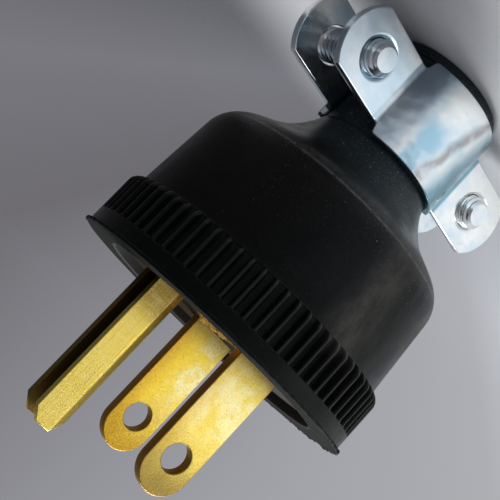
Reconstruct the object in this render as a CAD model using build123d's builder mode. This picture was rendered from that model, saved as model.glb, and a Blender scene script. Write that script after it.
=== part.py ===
from build123d import *
import os
from math import cos, hypot, radians, sin, sqrt, tan

# Grounded three-prong plug: a moulded rubber body with a ribbed grip ring, two flat blades and a folded
# ground pin that stand in a wiring recess under a fibre disc, and a two-piece cord clamp on the neck.
# The plug stands on its cord end: the origin is the middle of that end, +Z runs up the plug's axis to the
# prongs, +X is square to the blades' flat sides and +Y points at the ground pin. Sizes are in millimetres.

# Prong pattern, lengths taken from the face
blade_spacing = 12.7
blade_width = 6.35
blade_thickness = 1.52
blade_length = 17.0
blade_hole_diameter = 3.5
blade_hole_height = 12.3
blade_edge_round = 0.2
ground_offset = 11.9
ground_width = 4.6
ground_depth = 4.4
ground_sheet = 0.9
ground_bend_radius = 1.6
ground_length = 19.4
ground_bend_run = 1.3
ground_bend_rise = 2.15
ground_open_run = 1.2
ground_open_rise = 1.5
pattern_shift = 3.43

# Rubber body, from the cord end up to the face
body_height = 40.8
neck_end_radius = 8.1
neck_end_round = 0.5
seat_bottom = 1.3
seat_top = 13.0
seat_depth = 0.3
flare_radius = 13.0
flare_rise = 5.75
shoulder_slope = 30.0
shoulder_round = 4.0
drum_taper = 0.8
ring_step = 1.15
ring_height = 7.4
rim_width = 4.05
ring_round = 1.0
band_height = 2.1
lip_thickness = 0.35
lip_reach = 0.5
rib_count = 75
rib_width = 0.5
groove_depth = 0.85
first_groove_angle = 3.6

# Wiring recess in the face
disc_thickness = 0.8
disc_drop = 1.1
ledge_width = 1.2
cavity_depth = 9.0
cord_bore_radius = 4.75
pocket_depth = 0.8

# Terminals
bend_radius = 0.4
foot_corner = 1.0
foot_edge = 0.55
ground_pad_radius = 2.6
terminal_diameter = 2.9
terminal_length = 4.2
terminal_head_diameter = 4.6
terminal_head_height = 1.7
terminal_slot_width = 0.8
terminal_slot_depth = 0.8

# Cord clamp
clamp_turn = -10.0
clamp_sheet = 1.0
clamp_gap = 7.2
ear_width = 8.8
ear_reach = 18.5
ear_end_radius = 5.4
ear_bend = 0.5
clamp_screw_spacing = 26.0
clamp_screw_diameter = 4.17
clamp_screw_stick_out = 1.4
clamp_screw_chamfer = 0.7
clamp_head_diameter = 7.6
clamp_head_height = 2.8
clamp_head_round = 1.4
clamp_slot_width = 1.1
clamp_slot_depth = 1.2
collar_wall = 0.9
collar_length = 0.9
lead_in = 0.6

# Clearances of the fits
disc_clearance = 0.1
slot_clearance = 0.5
foot_clearance = 0.15
head_clearance = 0.1
terminal_clearance = 0.05
pit_clearance = 0.3
seat_clearance = 0.05
arch_clearance = 0.15
thread_clearance = 0.04
rear_hole_clearance = 0.2

os.makedirs("parts", exist_ok=True)

# Prongs and terminals in plan
blade_y = -pattern_shift
blade_inner_x = (blade_spacing - blade_thickness) / 2
blade_outer_x = (blade_spacing + blade_thickness) / 2
terminal_hole = terminal_diameter / 2 + terminal_clearance
blade_screw_x = blade_outer_x + bend_radius + terminal_head_diameter / 2 + head_clearance
foot_end_x = blade_screw_x + terminal_hole + foot_edge
ground_y = ground_offset - pattern_shift
ground_open_y = ground_y + ground_depth / 2
ground_bend_y = ground_y - ground_depth / 2
ground_half = ground_width / 2
ground_leg_y = (ground_bend_y + ground_bend_radius + ground_open_y) / 2
ground_leg_width = ground_depth - ground_bend_radius
ground_screw_x = ground_half + bend_radius + terminal_head_diameter / 2 + head_clearance

# The wiring cavity takes in the feet, the disc lies on a ledge round it, and the rim stands round the disc
blade_reach = hypot(foot_end_x + foot_clearance, pattern_shift + blade_width / 2)
ground_reach = hypot(ground_screw_x, ground_leg_y) + ground_pad_radius + foot_clearance
cavity_radius = max(blade_reach, ground_reach)
recess_radius = cavity_radius + ledge_width
disc_radius = recess_radius - disc_clearance
ring_radius = recess_radius + rim_width
drum_top_radius = ring_radius - ring_step
drum_bottom_radius = drum_top_radius - drum_taper

# Heights
disc_top = body_height - disc_drop
disc_bottom = disc_top - disc_thickness
floor_height = disc_bottom - cavity_depth
foot_bottom = floor_height - pocket_depth
pit_depth = terminal_length - min(blade_thickness, ground_sheet) + pit_clearance
blade_top = body_height + blade_length
ground_top = body_height + ground_length
ring_foot = body_height - ring_height
band_bottom = body_height - band_height
seat_radius = neck_end_radius - seat_depth
flare_top = seat_top + flare_rise
slope = tan(radians(shoulder_slope))
shoulder_height = flare_top + (drum_bottom_radius - flare_radius) * slope
groove_width = 2 * ring_radius * sin(radians(180 / rib_count)) - rib_width

# The clamp's halves part along the turned X axis, and its ears lie along the turned Y axis
clamp_middle = (seat_bottom + seat_top) / 2
arch_width = seat_top - seat_bottom - 2 * arch_clearance
part_way = Vector(cos(radians(clamp_turn)), sin(radians(clamp_turn)), 0)
ear_way = Vector(-sin(radians(clamp_turn)), cos(radians(clamp_turn)), 0)
clamp_plane = Plane(origin=(0, 0, clamp_middle), x_dir=part_way, z_dir=(0, 0, 1))
split_plane = Plane(origin=(0, 0, clamp_middle), x_dir=ear_way, z_dir=part_way)
clamp_axis = Axis((0, 0, clamp_middle), part_way)
strap_inner = seat_radius + seat_clearance
strap_outer = strap_inner + clamp_sheet
ear_inner = clamp_gap / 2
ear_outer = ear_inner + clamp_sheet
ear_screws = ((-clamp_screw_spacing / 2, 0), (clamp_screw_spacing / 2, 0))
front_hole = clamp_screw_diameter / 2 + thread_clearance
rear_hole = clamp_screw_diameter / 2 + rear_hole_clearance

# Rubber body: one moulding turned about its axis, hollowed from the face and bored for the cord
with BuildPart() as rubber_body:
    with BuildSketch(Plane.XZ) as body_section:
        with BuildLine():
            Polyline(
                (0, body_height),
                (0, 0),
                (neck_end_radius, 0),
                (neck_end_radius, seat_bottom),
                (seat_radius, seat_bottom),
                (seat_radius, seat_top),
                (neck_end_radius, seat_top),
            )
            TangentArc(
                (flare_radius, flare_top),
                (neck_end_radius, seat_top),
                tangent=(-cos(radians(shoulder_slope)), -sin(radians(shoulder_slope))),
            )
            Polyline(
                (flare_radius, flare_top),
                (drum_bottom_radius, shoulder_height),
                (drum_top_radius, ring_foot),
                (ring_radius, ring_foot),
                (ring_radius, body_height - lip_thickness),
                (ring_radius + lip_reach, body_height - lip_thickness),
                (ring_radius + lip_reach, body_height),
                (0, body_height),
            )
        make_face()
        for corner, radius in (
            ((neck_end_radius, 0), neck_end_round),
            ((drum_bottom_radius, shoulder_height), shoulder_round),
            ((ring_radius, ring_foot), ring_round),
        ):
            fillet(body_section.vertices().sort_by_distance(corner)[0], radius)
    revolve(axis=Axis.Z)
    with BuildSketch(Plane.XY.offset(disc_bottom)):
        Circle(recess_radius)
    extrude(amount=body_height - disc_bottom, mode=Mode.SUBTRACT)
    with BuildSketch(Plane.XY.offset(floor_height)):
        Circle(cavity_radius)
    extrude(amount=cavity_depth, mode=Mode.SUBTRACT)
    with BuildSketch():
        Circle(cord_bore_radius)
    extrude(amount=floor_height, mode=Mode.SUBTRACT)
    # Pockets in the floor seat the feet of the blades and of the ground pin, with pits under the screws
    with BuildSketch(Plane.XY.offset(foot_bottom)):
        for side in (-1, 1):
            with Locations((side * (blade_inner_x + foot_end_x) / 2, blade_y)):
                Rectangle(foot_end_x - blade_inner_x + 2 * foot_clearance, blade_width + 2 * foot_clearance)
        with Locations((0, ground_y)):
            Rectangle(ground_width + 2 * foot_clearance, ground_depth + 2 * foot_clearance)
        with Locations((ground_screw_x / 2, ground_leg_y)):
            Rectangle(ground_screw_x, ground_leg_width + 2 * foot_clearance)
        with Locations((ground_screw_x, ground_leg_y)):
            Circle(ground_pad_radius + foot_clearance)
    extrude(amount=pocket_depth, mode=Mode.SUBTRACT)
    with BuildSketch(Plane.XY.offset(foot_bottom)):
        with Locations((-blade_screw_x, blade_y), (blade_screw_x, blade_y), (ground_screw_x, ground_leg_y)):
            Circle(terminal_diameter / 2 + pit_clearance)
    extrude(amount=-pit_depth, mode=Mode.SUBTRACT)
    # Grip ring: grooves with square ends below the smooth band, their floors running out into the drum
    with BuildSketch(Plane.XZ):
        with BuildLine():
            Polyline(
                (ring_radius - groove_depth, band_bottom),
                (drum_top_radius, ring_foot),
                (ring_radius + lip_reach, ring_foot),
                (ring_radius + lip_reach, band_bottom),
                close=True,
            )
        make_face()
    groove = extrude(amount=groove_width / 2, both=True, mode=Mode.PRIVATE)
    with PolarLocations(0, rib_count, start_angle=first_groove_angle):
        add(groove, mode=Mode.SUBTRACT)
rubber_body.part.label = "rubber_body"
export_step(rubber_body.part, "parts/rubber_body.step")

# Fibre disc that covers the wiring, slotted for the prongs
with BuildPart() as insulating_disc:
    with BuildSketch(Plane.XY.offset(disc_bottom)):
        Circle(disc_radius)
        with Locations((-blade_spacing / 2, blade_y), (blade_spacing / 2, blade_y)):
            Rectangle(
                blade_thickness + 2 * slot_clearance,
                blade_width + 2 * slot_clearance,
                mode=Mode.SUBTRACT,
            )
        with Locations((0, ground_y)):
            Rectangle(
                ground_width + 2 * slot_clearance,
                ground_depth + 2 * slot_clearance,
                mode=Mode.SUBTRACT,
            )
    extrude(amount=disc_thickness)
insulating_disc.part.label = "insulating_disc"
export_step(insulating_disc.part, "parts/insulating_disc.step")

# Blade: a flat strip with a round end and a hole, bent outwards at the bottom into a foot for its screw
blade_plane = Plane(origin=(0, blade_y, 0), x_dir=(1, 0, 0), z_dir=(0, -1, 0))
blade_front = Plane(origin=(0, blade_y, 0), x_dir=(0, 1, 0), z_dir=(1, 0, 0))
with BuildPart() as line_blade:
    with BuildSketch(blade_plane) as blade_profile:
        with BuildLine():
            Polyline(
                (blade_inner_x, foot_bottom),
                (foot_end_x, foot_bottom),
                (foot_end_x, foot_bottom + blade_thickness),
                (blade_outer_x, foot_bottom + blade_thickness),
                (blade_outer_x, blade_top),
                (blade_inner_x, blade_top),
                close=True,
            )
        make_face()
        for corner, radius in (
            ((blade_outer_x, foot_bottom + blade_thickness), bend_radius),
            ((blade_inner_x, foot_bottom), bend_radius + blade_thickness),
        ):
            fillet(blade_profile.vertices().sort_by_distance(corner)[0], radius)
    extrude(amount=blade_width / 2, both=True)
    with BuildSketch(blade_front):
        with Locations((0, foot_bottom)):
            Rectangle(
                blade_width,
                blade_top - blade_width / 2 - foot_bottom,
                align=(Align.CENTER, Align.MIN),
            )
        with Locations((0, blade_top - blade_width / 2)):
            Circle(blade_width / 2)
    extrude(amount=foot_end_x, mode=Mode.INTERSECT)
    fillet(line_blade.edges().filter_by(Axis.Z).sort_by(Axis.X)[-2:], foot_corner)
    flat_sides = line_blade.faces().filter_by(Axis.X).sort_by(Axis.Z)[-2:]
    fillet(flat_sides.edges().filter_by(GeomType.CIRCLE), blade_edge_round)
    with BuildSketch(blade_front):
        with Locations((0, body_height + blade_hole_height)):
            Circle(blade_hole_diameter / 2)
    extrude(amount=blade_outer_x, mode=Mode.SUBTRACT)
    with BuildSketch(Plane.XY.offset(foot_bottom)):
        with Locations((blade_screw_x, blade_y)):
            Circle(terminal_hole)
    extrude(amount=blade_thickness, mode=Mode.SUBTRACT)
line_blade.part.label = "line_blade"
export_step(line_blade.part, "parts/line_blade.step")

with BuildPart() as neutral_blade:
    mirror(line_blade.part, about=Plane.YZ)
neutral_blade.part.label = "neutral_blade"
export_step(neutral_blade.part, "parts/neutral_blade.step")

# Ground pin: sheet folded to a U that opens away from the blades, its tip cut back on both sides, and one
# leg turned out at the bottom into a round pad for the ground screw
ground_plane = Plane(origin=(0, ground_leg_y, 0), x_dir=(1, 0, 0), z_dir=(0, -1, 0))
with BuildPart() as ground_pin:
    with BuildSketch(Plane.XY.offset(foot_bottom)) as ground_outside:
        with Locations((0, ground_y)):
            Rectangle(ground_width, ground_depth)
        fillet(ground_outside.vertices().sort_by(Axis.Y)[:2], ground_bend_radius)
    extrude(amount=ground_top - foot_bottom)
    with BuildSketch(Plane.XY.offset(foot_bottom)) as ground_inside:
        with Locations((0, ground_y + ground_sheet)):
            Rectangle(ground_width - 2 * ground_sheet, ground_depth)
        fillet(ground_inside.vertices().sort_by(Axis.Y)[:2], ground_bend_radius - ground_sheet)
    extrude(amount=ground_top - foot_bottom, mode=Mode.SUBTRACT)
    with BuildSketch(Plane.YZ):
        with BuildLine():
            Polyline(
                (ground_bend_y, ground_top - ground_bend_rise),
                (ground_bend_y + ground_bend_run, ground_top),
                (ground_bend_y, ground_top),
                close=True,
            )
        make_face()
        with BuildLine():
            Polyline(
                (ground_open_y, ground_top - ground_open_rise),
                (ground_open_y - ground_open_run, ground_top),
                (ground_open_y, ground_top),
                close=True,
            )
        make_face()
    extrude(amount=ground_width, both=True, mode=Mode.SUBTRACT)
    with BuildSketch(ground_plane) as ground_foot:
        with BuildLine():
            Polyline(
                (ground_half - ground_sheet, foot_bottom),
                (ground_screw_x, foot_bottom),
                (ground_screw_x, foot_bottom + ground_sheet),
                (ground_half, foot_bottom + ground_sheet),
                (ground_half, floor_height + ground_sheet),
                (ground_half - ground_sheet, floor_height + ground_sheet),
                close=True,
            )
        make_face()
        bend = ground_foot.vertices().sort_by_distance((ground_half, foot_bottom + ground_sheet))[0]
        fillet(bend, bend_radius)
    extrude(amount=ground_leg_width / 2, both=True)
    with BuildSketch(Plane.XY.offset(foot_bottom)):
        with Locations((ground_screw_x, ground_leg_y)):
            Circle(ground_pad_radius)
    extrude(amount=ground_sheet)
    with BuildSketch(Plane.XY.offset(foot_bottom)):
        with Locations((ground_screw_x, ground_leg_y)):
            Circle(terminal_hole)
    extrude(amount=ground_sheet, mode=Mode.SUBTRACT)
ground_pin.part.label = "ground_pin"
export_step(ground_pin.part, "parts/ground_pin.step")


def binding_screws(places, seat):
    """Slotted binding screws that stand on a foot's top face at the given places."""
    with BuildPart() as screws:
        with BuildSketch(Plane.XY.offset(seat)):
            with Locations(*places):
                Circle(terminal_diameter / 2)
        extrude(amount=-terminal_length)
        with BuildSketch(Plane.XY.offset(seat)):
            with Locations(*places):
                Circle(terminal_head_diameter / 2)
        extrude(amount=terminal_head_height)
        with BuildSketch(Plane.XY.offset(seat + terminal_head_height)):
            with Locations(*places):
                Rectangle(terminal_slot_width, terminal_head_diameter)
        extrude(amount=-terminal_slot_depth, mode=Mode.SUBTRACT)
    return screws.part


# Binding screws of the blades and the ground pin
terminal_places = ((-blade_screw_x, blade_y), (blade_screw_x, blade_y))
terminal_screws = binding_screws(terminal_places, foot_bottom + blade_thickness)
terminal_screws.label = "terminal_screws"
export_step(terminal_screws, "parts/terminal_screws.step")

ground_screw = binding_screws(((ground_screw_x, ground_leg_y),), foot_bottom + ground_sheet)
ground_screw.label = "ground_screw"
export_step(ground_screw, "parts/ground_screw.step")

# Clamp strap: half a ring round the neck with a flat ear at each side, narrower than the ring
with BuildPart() as strap:
    with BuildSketch(clamp_plane) as strap_profile:
        Circle(strap_outer)
        with Locations(((ear_inner + ear_outer) / 2, 0)):
            Rectangle(clamp_sheet, 2 * ear_reach)
        Circle(strap_inner, mode=Mode.SUBTRACT)
        with Locations((ear_inner, 0)):
            Rectangle(
                strap_outer,
                2 * ear_reach,
                align=(Align.MIN, Align.CENTER),
                mode=Mode.INTERSECT,
            )
        for side in (-1, 1):
            outer_fold = (ear_outer, side * sqrt(strap_outer**2 - ear_outer**2))
            inner_fold = (ear_inner, side * sqrt(strap_inner**2 - ear_inner**2))
            fillet(strap_profile.vertices().sort_by_distance(outer_fold)[0], ear_bend)
            fillet(strap_profile.vertices().sort_by_distance(inner_fold)[0], ear_bend + clamp_sheet)
    extrude(amount=ear_width / 2, both=True)
    with BuildSketch(split_plane):
        Rectangle(2 * (ear_reach - ear_end_radius), ear_width)
        with Locations((ear_end_radius - ear_reach, 0), (ear_reach - ear_end_radius, 0)):
            Circle(ear_end_radius)
    extrude(amount=strap_outer, mode=Mode.INTERSECT)
    with BuildSketch(clamp_plane):
        Circle(strap_outer)
        Circle(strap_inner, mode=Mode.SUBTRACT)
        with Locations((ear_outer + ear_bend, 0)):
            Rectangle(
                strap_outer,
                2 * strap_outer,
                align=(Align.MIN, Align.CENTER),
                mode=Mode.INTERSECT,
            )
    extrude(amount=arch_width / 2, both=True)

# Front half: its ears are drawn inwards into tapped collars with a rounded lead-in
with BuildPart() as clamp_half_front:
    add(strap.part)
    with BuildSketch(split_plane.offset(ear_inner)):
        with Locations(*ear_screws):
            Circle(front_hole + collar_wall)
    extrude(amount=-collar_length)
    with BuildSketch(split_plane.offset(ear_outer)):
        with Locations(*ear_screws):
            Circle(front_hole)
    extrude(amount=-(clamp_sheet + collar_length), mode=Mode.SUBTRACT)
    hole_rims = clamp_half_front.edges().filter_by(GeomType.CIRCLE)
    hole_rims = hole_rims.filter_by(lambda rim: abs(rim.radius - front_hole) < thread_clearance / 2)
    fillet(hole_rims.sort_by(clamp_axis)[-2:], lead_in)
clamp_half_front.part.label = "clamp_half_front"
export_step(clamp_half_front.part, "parts/clamp_half_front.step")

# Rear half: plain holes for the screws to pass through
with BuildPart() as clamp_half_rear:
    mirror(strap.part, about=split_plane)
    with BuildSketch(split_plane.offset(-ear_outer)):
        with Locations(*ear_screws):
            Circle(rear_hole)
    extrude(amount=clamp_sheet, mode=Mode.SUBTRACT)
clamp_half_rear.part.label = "clamp_half_rear"
export_step(clamp_half_rear.part, "parts/clamp_half_rear.step")

# Clamp screws: slotted round heads on the rear half, ends standing out of the front half's ears
with BuildPart() as clamp_screws:
    with BuildSketch(split_plane.offset(-ear_outer)):
        with Locations(*ear_screws):
            Circle(clamp_screw_diameter / 2)
    extrude(amount=2 * ear_outer + clamp_screw_stick_out)
    chamfer(clamp_screws.edges().filter_by(GeomType.CIRCLE).sort_by(clamp_axis)[-2:], clamp_screw_chamfer)
    with BuildSketch(split_plane.offset(-ear_outer)):
        with Locations(*ear_screws):
            Circle(clamp_head_diameter / 2)
    extrude(amount=-clamp_head_height)
    fillet(clamp_screws.edges().filter_by(GeomType.CIRCLE).sort_by(clamp_axis)[:2], clamp_head_round)
    with BuildSketch(split_plane.offset(-ear_outer - clamp_head_height)):
        with Locations(*ear_screws):
            Rectangle(clamp_slot_width, clamp_head_diameter)
    extrude(amount=clamp_slot_depth, mode=Mode.SUBTRACT)
clamp_screws.part.label = "clamp_screws"
export_step(clamp_screws.part, "parts/clamp_screws.step")
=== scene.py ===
from cmath import rect
from math import acos, asin, cos, inf, pi, radians, sin, tan

import bmesh
import bpy
import numpy as np
from mathutils import Matrix, Vector, noise


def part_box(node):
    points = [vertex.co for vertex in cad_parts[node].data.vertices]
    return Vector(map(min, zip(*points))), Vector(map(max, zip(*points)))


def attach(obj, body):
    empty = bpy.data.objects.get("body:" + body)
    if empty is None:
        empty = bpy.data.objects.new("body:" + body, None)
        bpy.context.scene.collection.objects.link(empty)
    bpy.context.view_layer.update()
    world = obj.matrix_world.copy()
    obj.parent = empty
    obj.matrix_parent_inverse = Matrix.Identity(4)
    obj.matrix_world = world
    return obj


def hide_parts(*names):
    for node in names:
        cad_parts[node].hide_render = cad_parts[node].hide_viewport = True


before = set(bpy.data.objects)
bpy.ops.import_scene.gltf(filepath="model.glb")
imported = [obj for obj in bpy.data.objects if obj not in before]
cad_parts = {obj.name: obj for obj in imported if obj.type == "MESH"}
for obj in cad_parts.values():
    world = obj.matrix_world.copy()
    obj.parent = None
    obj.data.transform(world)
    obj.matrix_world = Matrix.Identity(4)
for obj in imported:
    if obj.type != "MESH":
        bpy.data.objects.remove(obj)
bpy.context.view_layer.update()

# Grounded plug on its cord end, prongs up. Shapes are worked out in millimetres, in the frame of the CAD
# model, and become metres as their meshes are made.
MM = 0.001


def node_box(node):
    """Lowest and highest corner of a CAD node, in millimetres."""
    low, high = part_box(node)
    return low / MM, high / MM


# Sizes of the rubber body
_, body_high = node_box("rubber_body")
FACE = body_high.z
LIP_REACH = 0.5
LIP_THICKNESS = 0.35
LIP_FOOT = FACE - LIP_THICKNESS
RING_RADIUS = body_high.x - LIP_REACH
RING_HEIGHT = 7.4
RING_FOOT = FACE - RING_HEIGHT
RING_ROUND = 1.0
RING_STEP = 1.15
BAND_HEIGHT = 2.1
BAND_BOTTOM = FACE - BAND_HEIGHT
DRUM_TAPER = 0.8
DRUM_TOP_RADIUS = RING_RADIUS - RING_STEP
DRUM_BOTTOM_RADIUS = DRUM_TOP_RADIUS - DRUM_TAPER
SHOULDER_SLOPE = radians(30)
SHOULDER_ROUND = 4.0
SEAT_BOTTOM = 1.3
SEAT_TOP = 13.0
SEAT_DEPTH = 0.3
FLARE_RADIUS = 13.0
FLARE_RISE = 5.75
FLARE_TOP = SEAT_TOP + FLARE_RISE
NECK_RADIUS = 8.1
SEAT_RADIUS = NECK_RADIUS - SEAT_DEPTH
BORE_RADIUS = 4.75
BORE_EDGE = 0.3
RIB_COUNT = 75
RIB_WIDTH = 0.5
RIB_CROWN = 0.12
RIB_CREST = 0.1
GROOVE_DEPTH = 0.85
GROOVE_END = 0.2
GROOVE_HALF = RING_RADIUS * sin(pi / RIB_COUNT) - RIB_WIDTH / 2
GROOVE_FLOOR = RING_RADIUS - GROOVE_DEPTH
GROOVE_WALL = (-0.16, 0.05)
FIRST_GROOVE = radians(3.6)
FIN_HEIGHT = 0.2
CHIP_DEPTH = 0.16

# The body's mesh: columns beside a groove's middle, every seventh of which goes on past the ring, and steps
GROOVE_COLUMNS = (0.24, 0.39, 0.46, 0.52, 0.59, 0.7)
COARSE = 7
PLAIN_STEP, RIB_STEP, RIB_END_STEP = 1.1, 0.55, 0.12
FLARE_STEPS = 14
RIM_STEPS = 7

# Stretches of the lip as their middle and spread in degrees: torn in little teeth, and pulled out to a tongue
TORN_STRETCH = (-80, 32)
PULLED_STRETCHES = ((108, 7), (-50, 5))

# Sizes of the disc and the recess it lies in, and of the torn fibres that stand up on it
disc_low, disc_high = node_box("insulating_disc")
DISC_RADIUS = disc_high.x
DISC_BOTTOM = disc_low.z
DISC_TOP = disc_high.z
DISC_EDGE = 0.08
DISC_CLEARANCE = 0.1
DISC_SIDES = 180
LEDGE_WIDTH = 1.2
RECESS_RADIUS = DISC_RADIUS + DISC_CLEARANCE
CAVITY_RADIUS = RECESS_RADIUS - LEDGE_WIDTH
SLOT_CLEARANCE = 0.5
SLOT_CORNER = 0.25
SLOT_STEP = 0.35
SLOT_RAG = 0.3
CRUST_HEIGHT = 0.68
CRUST_STEP = 0.16
CRUST_SUNK = 0.06
CRUST_MIDDLE = (3.2, 2.3)
CRUST_REACH = (8.0, 2.6)
CRUST_SPAN = 2.2
CRUST_SLANT = 1.62
CRUST_SLANT_END = (-5.0, -3.8)
CRUST_NEUTRAL_END = (-4.9, -4.3)
CRUST_BLADE_END = (0.3, 0.7)
CRUST_PIN_END = (5.0, 4.2)

# Sizes of the prongs
blade_low, blade_high = node_box("line_blade")
BLADE_TOP = blade_high.z
FOOT_BOTTOM = blade_low.z
FOOT_END = blade_high.x
BLADE_Y = (blade_low.y + blade_high.y) / 2
BLADE_HALF = (blade_high.y - blade_low.y) / 2
BLADE_THICKNESS = 1.52
BLADE_X = blade_low.x + BLADE_THICKNESS / 2
BLADE_EDGE = 0.16
BLADE_HOLE_RADIUS = 1.75
BLADE_HOLE_HEIGHT = FACE + 12.3
BLADE_TIP_STEPS = 32
FOOT_BEND = 0.4
FOOT_CORNER = 1.0
FOOT_BEND_STEPS = 8
TERMINAL_HOLE = 1.5
TERMINAL_EDGE = 0.1
TERMINAL_SIDES = 32
BLADE_SCREW_X = 9.91
pin_low, pin_high = node_box("ground_pin")
PIN_TOP = pin_high.z
PIN_DEPTH = 4.4
PIN_BEND_Y = pin_low.y
PIN_OPEN_Y = PIN_BEND_Y + PIN_DEPTH
PIN_HALF = 2.3
PIN_SHEET = 0.9
PIN_BEND_RADIUS = 1.6
PIN_BEND_STEPS = 10
PIN_BEND_RUN = 1.3
PIN_BEND_RISE = 2.15
PIN_OPEN_RUN = 1.2
PIN_OPEN_RISE = 1.5
PIN_PAD_RADIUS = 2.6
PIN_PAD_STEPS = 36
PIN_SCREW_X = 5.1
HOLE_EDGE = 0.14
HOLE_SIDES = 48

# Sizes of the cord clamp
CLAMP_TURN = radians(-10)
CLAMP_ACROSS = (cos(CLAMP_TURN), sin(CLAMP_TURN), 0)
CLAMP_SHEET = 1.0
CLAMP_EDGE = 0.16
CLAMP_HALF_GAP = 3.6
CLAMP_MIDDLE = (SEAT_BOTTOM + SEAT_TOP) / 2
SEAT_CLEARANCE = 0.05
STRAP_RADIUS = SEAT_RADIUS + SEAT_CLEARANCE + CLAMP_SHEET / 2
ARCH_CLEARANCE = 0.15
ARCH_HALF = (SEAT_TOP - SEAT_BOTTOM) / 2 - ARCH_CLEARANCE
ARCH_STEPS = 24
EAR_MIDDLE = CLAMP_HALF_GAP + CLAMP_SHEET / 2
EAR_OUTER = EAR_MIDDLE + CLAMP_SHEET / 2
EAR_HALF = 4.4
EAR_REACH = 18.5
EAR_END_RADIUS = 5.4
EAR_END_STEPS = 28
EAR_BEND = 0.5
EAR_BEND_STEPS = 8
EAR_STEP_RUN = 0.35
SCREW_OFFSET = 13.0
SCREW_RADIUS = 2.085
SCREW_STICK_OUT = 1.4
SCREW_CHAMFER = 0.7
SCREW_SIDES = 48
SCREW_POLE = 0.02
THREAD_PITCH = 0.794
THREAD_DEPTH = 0.4
THREAD_FLANK = (0.12, 0.9)
THREAD_START = 0.4
THREAD_STEPS = 12
HEAD_RADIUS = 3.8
HEAD_HEIGHT = 2.8
HEAD_ROUND = 1.4
HEAD_STEPS = 8
HEAD_SLOT_WIDTH = 1.1
HEAD_SLOT_DEPTH = 1.2
FRONT_HOLE = SCREW_RADIUS + 0.04
REAR_HOLE = SCREW_RADIUS + 0.2
REAR_HOLE_EDGE = 0.12
COLLAR_WALL = 0.9
COLLAR_LENGTH = 0.9
COLLAR_EDGE = 0.12
COLLAR_CHAMFER = 0.2
COLLAR_ROOT = 0.15
LEAD_IN = 0.6
LEAD_IN_STEPS = 5


def smoothstep(low, high, value):
    """0 below low, 1 above high, and a smooth ramp between them."""
    share = np.clip((np.asarray(value, float) - low) / (high - low), 0, 1)
    return share * share * (3 - 2 * share)


def wobble(x, y, z):
    """Smooth noise about 0, the same in each run."""
    return noise.noise(Vector((x, y, z)))


def rim_noise(angles, scale, seed):
    """Smooth noise about 0 on a circle, finer for a larger scale."""
    return np.array([wobble(scale * cos(a), scale * sin(a), seed) for a in angles])


def near(angles, middle, spread):
    """1 in a direction given in degrees, falling to 0 on both sides of it."""
    away = (np.degrees(angles) - middle + 180) % 360 - 180
    return np.exp(-((away / spread) ** 2))


def divided(start, end, steps):
    """Values from start to end in even steps, with both of them."""
    return [start + (end - start) * i / steps for i in range(steps + 1)]


def on_neck(x, y, z):
    """A place given from the clamp's middle in its own directions, as the clamp sits on the neck."""
    c, s = cos(CLAMP_TURN), sin(CLAMP_TURN)
    return x * c - y * s, x * s + y * c, CLAMP_MIDDLE + z


def arc_points(middle, start, end, steps):
    """Points of the shorter arc about a middle, from one point to another."""
    first = start - middle
    swing = first.angle_signed(end - middle)
    return [middle + Matrix.Rotation(-swing * i / steps, 2) @ first for i in range(steps + 1)]


def sweep(middle, radius, start, end, steps):
    """Points of an arc about a middle, from one angle to another."""
    angles = divided(start, end, steps)
    return [Vector((middle[0] + radius * cos(a), middle[1] + radius * sin(a))) for a in angles]


def circle(middle, radius, count):
    """Points of a circle, anticlockwise."""
    return sweep(middle, radius, 0, 2 * pi, count)[:-1]


def rounded(*corners, steps=5):
    """Points of a line through (x, y, round) corners, with each corner turned into an arc of that radius.
    Arcs up to half a millimetre have three steps."""
    points = []
    for index, (x, y, radius) in enumerate(corners):
        corner = Vector((x, y))
        if radius == 0 or index in (0, len(corners) - 1):
            points.append(corner)
            continue
        before = (Vector(corners[index - 1][:2]) - corner).normalized()
        after = (Vector(corners[index + 1][:2]) - corner).normalized()
        half = acos(max(-1, min(1, before.dot(after)))) / 2
        middle = corner + (before + after).normalized() * (radius / sin(half))
        start = corner + before * (radius / tan(half))
        end = corner + after * (radius / tan(half))
        points += arc_points(middle, start, end, steps if radius > 0.5 else 3)
    return points


def spaced(points, spacing):
    """The same line with points added on its longer runs; spacing gives the step at a point."""
    line = [points[0]]
    for end in points[1:]:
        start = line[-1]
        count = max(1, round((end - start).length / spacing((start + end) / 2)))
        line += [start.lerp(end, (step + 1) / count) for step in range(count)]
    return line


def new_object(name, data):
    """An object in the scene for a mesh, lamp or camera."""
    thing = bpy.data.objects.new(name, data)
    bpy.context.scene.collection.objects.link(thing)
    return thing


def mesh_of(points, faces):
    """A mesh in metres from points in millimetres."""
    mesh = bpy.data.meshes.new("mesh")
    mesh.from_pydata([Vector(point) * MM for point in points], [], faces)
    return mesh


def shade_sheets(mesh):
    """Gives the sheets' faces their exact normals, and leaves the rounded edges their own."""
    facing = np.zeros(3 * len(mesh.loops))
    mesh.attributes["facing"].data.foreach_get("vector", facing)
    mesh.normals_split_custom_set([tuple(normal) for normal in facing.reshape(-1, 3)])
    mesh.attributes.remove(mesh.attributes["facing"])


def new_piece(node, mesh, material):
    """A scene object for a finished mesh, which stands for a CAD node and takes a material."""
    mesh.name = node + "_visual"
    mesh.materials.append(material)
    mesh.polygons.foreach_set("use_smooth", [True] * len(mesh.polygons))
    if "facing" in mesh.attributes:
        shade_sheets(mesh)
    piece = new_object(node + "_visual", mesh)
    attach(piece, "root")
    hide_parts(node)
    return piece


def looped(items):
    """Neighbours as pairs, all the way round a loop."""
    return list(zip(items, [*items[1:], items[0]]))


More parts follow.
